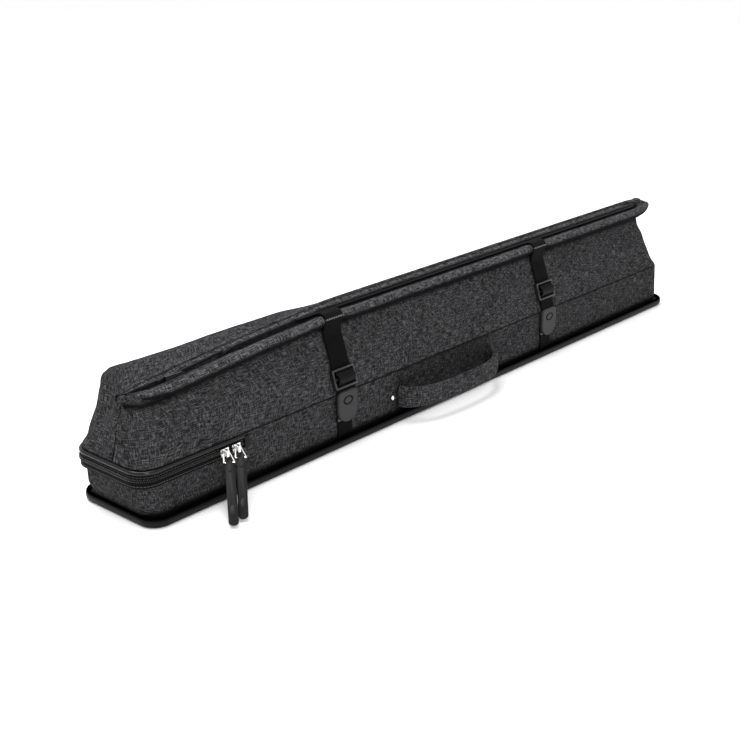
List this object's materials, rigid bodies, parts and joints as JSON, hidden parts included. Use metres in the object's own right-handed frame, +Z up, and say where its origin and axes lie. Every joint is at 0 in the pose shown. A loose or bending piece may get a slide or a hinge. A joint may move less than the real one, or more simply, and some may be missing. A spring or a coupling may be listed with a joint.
{
  "type": "cue case",
  "caption": "Long hard-bottomed case for billiard cues with a soft gabled pouch, zipped lifting end, folded top lips, two snap straps and a padded side handle.",
  "frame": {"origin": "centre of the flat underside, on the surface that the case stands on", "axes": "+X along the case away from the zipped end, -Y towards the handle and straps, +Z up"},
  "size_m": [0.8639, 0.1509, 0.1395],
  "materials": {
    "fabric": "heathered charcoal woven polyester over foam and board",
    "lining": "short black velour lining on board",
    "board": "smooth dark base board",
    "rubber": "satin moulded black rubber",
    "webbing": "black woven nylon webbing",
    "zipper": "black nylon coil and tape",
    "buckle": "satin black moulded plastic",
    "snap": "soft-touch dark grey plastic",
    "metal": "bright nickel plating"
  },
  "bodies": {
    "shell": {"front_wall": "fabric", "rear_wall": "fabric", "near_end_wall": "fabric", "far_end_wall": "fabric", "cover_front_panel": "fabric", "cover_rear_panel": "fabric", "cover_top_panel": "fabric", "cover_far_end": "fabric", "front_lip": "fabric", "back_lip": "fabric", "fold_gusset": "fabric", "handle_anchor_near": "fabric", "handle_anchor_far": "fabric", "floor_liner": "lining", "side_liner_front": "lining", "side_liner_rear": "lining", "butt_divider": "lining", "cue_shelf": "lining", "shaft_divider_front": "lining", "shaft_divider_middle": "lining", "shaft_divider_rear": "lining", "pouch_floor": "lining", "far_end_pad": "lining", "base_board": "board", "base_rim": "rubber", "near_strap_root": "webbing", "far_strap_root": "webbing", "near_strap_lower": "webbing", "far_strap_lower": "webbing", "zip_stop_front": "webbing", "zip_stop_rear": "webbing", "zip_tape_lower": "zipper", "zip_teeth_lower": "zipper", "pouch_zip_chain": "zipper", "near_snap_base": "buckle", "far_snap_base": "buckle", "handle_rivet_near": "metal", "handle_rivet_far": "metal"},
    "end_flap": {"flap_front_panel": "fabric", "flap_rear_panel": "fabric", "zip_tape_upper": "zipper", "zip_teeth_upper": "zipper", "flap_piping": "rubber", "flap_front_lip": "fabric", "flap_back_lip": "fabric", "flap_pouch_zip_chain": "zipper"},
    "pouch_slider": {"pouch_zip_slider": "metal"},
    "zip_slider_a": {"zip_slider_a": "metal"},
    "zip_bail_a": {"zip_bail_a": "metal"},
    "zip_tab_a": {"zip_tab_a": "rubber"},
    "zip_slider_b": {"zip_slider_b": "metal"},
    "zip_bail_b": {"zip_bail_b": "metal"},
    "zip_tab_b": {"zip_tab_b": "rubber"},
    "handle": {"handle_grip": "fabric"},
    "near_strap": {"near_strap_webbing": "webbing", "near_snap": "snap"},
    "near_adjuster": {"near_adjuster": "buckle"},
    "far_strap": {"far_strap_webbing": "webbing", "far_snap": "snap"},
    "far_adjuster": {"far_adjuster": "buckle"}
  },
  "joints": [
    {"name": "end_flap_fold", "type": "hinge", "parent": "shell", "child": "end_flap", "pos_m": [-0.315, 0, 0.0545], "axis": [0, 1, 0], "range_deg": [0, 40], "deforming": ["fold_gusset"]},
    {"name": "pouch_slider_travel", "type": "slide", "parent": "end_flap", "child": "pouch_slider", "axis": [0.9959, 0.0362, 0.0828], "range_m": [0, 0.045]},
    {"name": "zip_slider_a_travel", "type": "slide", "parent": "shell", "child": "zip_slider_a", "axis": [-1, 0, 0], "range_m": [0, 0.06]},
    {"name": "zip_slider_b_travel", "type": "slide", "parent": "shell", "child": "zip_slider_b", "axis": [1, 0, 0], "range_m": [0, 0.008]},
    {"name": "zip_bail_a_swing", "type": "hinge", "parent": "zip_slider_a", "child": "zip_bail_a", "pos_m": [-0.346, -0.0531, 0.0468], "axis": [-1, 0, 0], "range_deg": [0, 50]},
    {"name": "zip_tab_a_swing", "type": "hinge", "parent": "zip_bail_a", "child": "zip_tab_a", "pos_m": [-0.346, -0.05688, 0.03863], "axis": [-0.7715, 0.6363, 0], "range_deg": [0, 60]},
    {"name": "zip_bail_b_swing", "type": "hinge", "parent": "zip_slider_b", "child": "zip_bail_b", "pos_m": [-0.332, -0.0531, 0.0468], "axis": [-1, 0, 0], "range_deg": [0, 50]},
    {"name": "zip_tab_b_swing", "type": "hinge", "parent": "zip_bail_b", "child": "zip_tab_b", "pos_m": [-0.332, -0.05688, 0.03863], "axis": [-0.7468, 0.665, 0], "range_deg": [0, 60]},
    {"name": "handle_lift", "type": "hinge", "parent": "shell", "child": "handle", "pos_m": [-0.027, -0.0495, 0.0275], "axis": [-1, 0, 0], "range_deg": [0, 50]},
    {"name": "near_strap_lift", "type": "hinge", "parent": "shell", "child": "near_strap", "pos_m": [-0.184, -0.027, 0.126], "axis": [-1, 0, 0], "range_deg": [0, 110]},
    {"name": "near_adjuster_travel", "type": "slide", "parent": "near_strap", "child": "near_adjuster", "axis": [0, 0.3099, 0.9508], "range_m": [0, 0.022]},
    {"name": "far_strap_lift", "type": "hinge", "parent": "shell", "child": "far_strap", "pos_m": [0.161, -0.027, 0.126], "axis": [-1, 0, 0], "range_deg": [0, 110]},
    {"name": "far_adjuster_travel", "type": "slide", "parent": "far_strap", "child": "far_adjuster", "axis": [0, 0.3099, 0.9508], "range_m": [-0.007, 0.022]}
  ]
}
